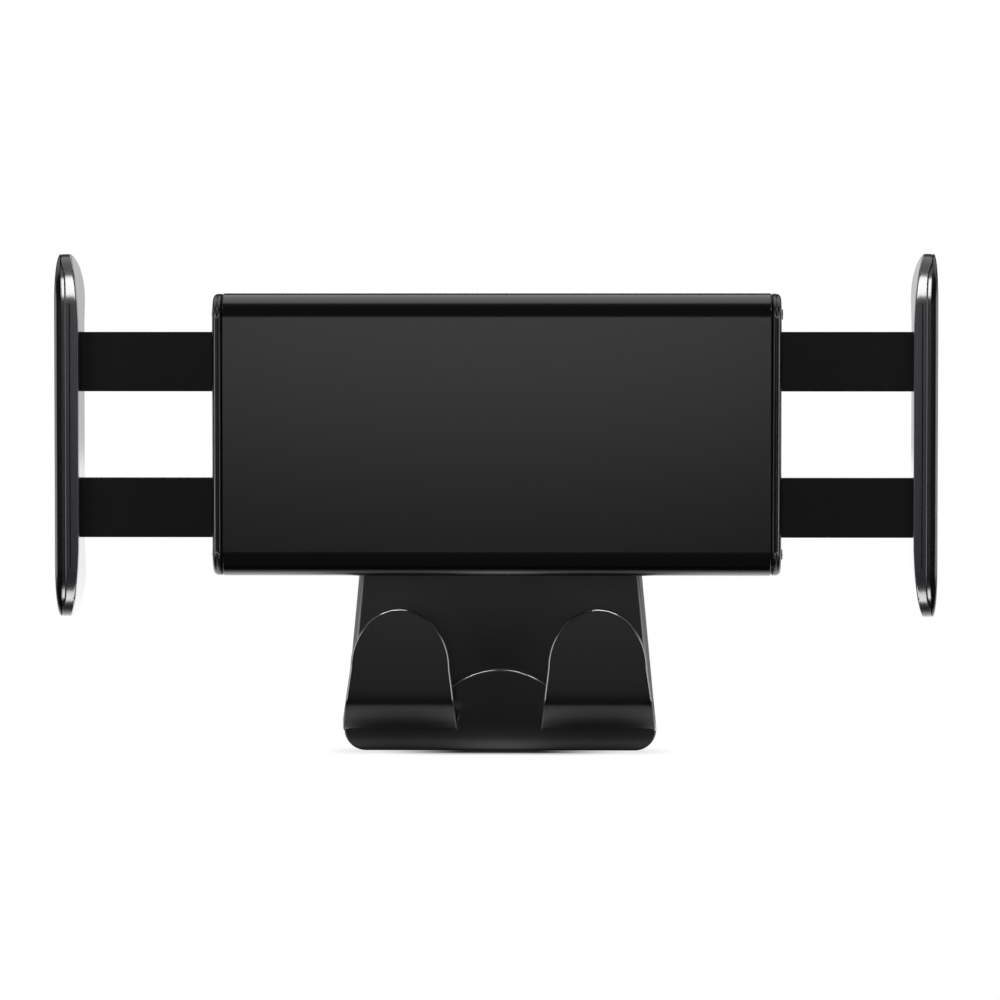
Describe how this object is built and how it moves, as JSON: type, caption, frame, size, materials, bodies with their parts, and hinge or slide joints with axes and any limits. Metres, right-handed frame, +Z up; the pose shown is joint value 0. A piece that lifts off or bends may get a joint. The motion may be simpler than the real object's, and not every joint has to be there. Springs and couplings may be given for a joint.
{
  "type": "headrest tablet mount",
  "caption": "Headrest tablet mount: two coupled sliding jaws on a flat cradle, a ball joint, a bar that clamps the headrest posts and a double bag hook below.",
  "frame": {"origin": "centre of the cradle's flat front face, which the tablet's back rests on", "axes": "-Y out of the front face towards the person who looks at the tablet, +X along the cradle's length, +Z up along the headrest posts"},
  "size_m": [0.1916, 0.0874, 0.1131],
  "materials": {
    "black_anodised": "black anodised, satin",
    "cap_plastic": "moulded ABS, satin",
    "arm_metal": "matt black powder coat",
    "jaw_plastic": "moulded ABS, high gloss",
    "jaw_cover_plastic": "moulded ABS, satin gloss",
    "soft_pad": "smooth black elastomer",
    "joint_plastic": "moulded nylon, matt",
    "seat_plastic": "moulded acetal, natural",
    "hook_plastic": "moulded ABS and PC, satin",
    "plain_steel": "zinc plated steel",
    "screw_steel": "black oxide steel"
  },
  "bodies": {
    "bracket": {"ball_stud": "plain_steel", "stud_nut": "plain_steel", "drop_plate": "hook_plastic", "double_hook": "hook_plastic", "hook_screws": "screw_steel", "bar_housing": "joint_plastic", "bar_cover": "joint_plastic", "bar_screws": "screw_steel", "cover_screws": "screw_steel", "lock_nut": "plain_steel", "brake_pad": "soft_pad"},
    "pan_seat": {"rear_ball_seat": "seat_plastic"},
    "tilt_seat": {"front_ball_seat": "seat_plastic"},
    "cradle": {"body_sleeve": "black_anodised", "left_end_cap": "cap_plastic", "right_end_cap": "cap_plastic", "end_cap_screws": "screw_steel", "guide_frame": "joint_plastic", "pinion_axle": "plain_steel", "friction_washer": "plain_steel", "ball_socket": "joint_plastic", "socket_screws": "screw_steel"},
    "collar": {"collar_nut": "joint_plastic"},
    "pinion": {"pinion_gear": "seat_plastic"},
    "left_jaw": {"left_slider": "arm_metal", "left_jaw_core": "jaw_plastic", "left_jaw_cover": "jaw_cover_plastic", "left_jaw_pad": "soft_pad", "left_jaw_screws": "screw_steel"},
    "right_jaw": {"right_slider": "arm_metal", "right_jaw_core": "jaw_plastic", "right_jaw_cover": "jaw_cover_plastic", "right_jaw_pad": "soft_pad", "right_jaw_screws": "screw_steel"},
    "left_post_claw": {"left_claw": "joint_plastic", "left_claw_lining": "soft_pad"},
    "right_post_claw": {"right_claw": "joint_plastic", "right_claw_lining": "soft_pad"},
    "lock": {"lock_screw": "plain_steel", "lock_knob": "joint_plastic"}
  },
  "joints": [
    {"name": "cradle_pan", "type": "hinge", "parent": "bracket", "child": "pan_seat", "pos_m": [0, 0.03, 0], "axis": [0, 0, 1], "range_deg": [-15, 15]},
    {"name": "cradle_tilt", "type": "hinge", "parent": "pan_seat", "child": "tilt_seat", "pos_m": [0, 0.03, 0], "axis": [1, 0, 0], "range_deg": [-12, 12]},
    {"name": "cradle_roll", "type": "hinge", "parent": "tilt_seat", "child": "cradle", "pos_m": [0, 0.03, 0], "axis": [0, 1, 0], "continuous": true},
    {"name": "collar_nut_turn", "type": "hinge", "parent": "cradle", "child": "collar", "pos_m": [0, 0.03, 0], "axis": [0, 1, 0], "range_deg": [0, 180]},
    {"name": "left_jaw_slide", "type": "slide", "parent": "cradle", "child": "left_jaw", "axis": [-1, 0, 0], "range_m": [-0.028, 0.017]},
    {"name": "right_jaw_slide", "type": "slide", "parent": "cradle", "child": "right_jaw", "axis": [1, 0, 0], "range_m": [-0.028, 0.017]},
    {"name": "pinion_turn", "type": "hinge", "parent": "cradle", "child": "pinion", "pos_m": [0, 0.0067, 0], "axis": [0, 1, 0], "range_deg": [-200, 325]},
    {"name": "left_claw_slide", "type": "slide", "parent": "bracket", "child": "left_post_claw", "axis": [-1, 0, 0], "range_m": [0, 0.025]},
    {"name": "right_claw_slide", "type": "slide", "parent": "bracket", "child": "right_post_claw", "axis": [1, 0, 0], "range_m": [0, 0.025]},
    {"name": "lock_knob_turn", "type": "hinge", "parent": "bracket", "child": "lock", "pos_m": [0, 0.0668, 0], "axis": [0, 1, 0], "range_deg": [0, 270]}
  ],
  "couplings": [
    {"joint": "right_jaw_slide", "follows": "left_jaw_slide", "ratio": 1},
    {"joint": "pinion_turn", "follows": "left_jaw_slide", "rad_per_m": -200}
  ]
}
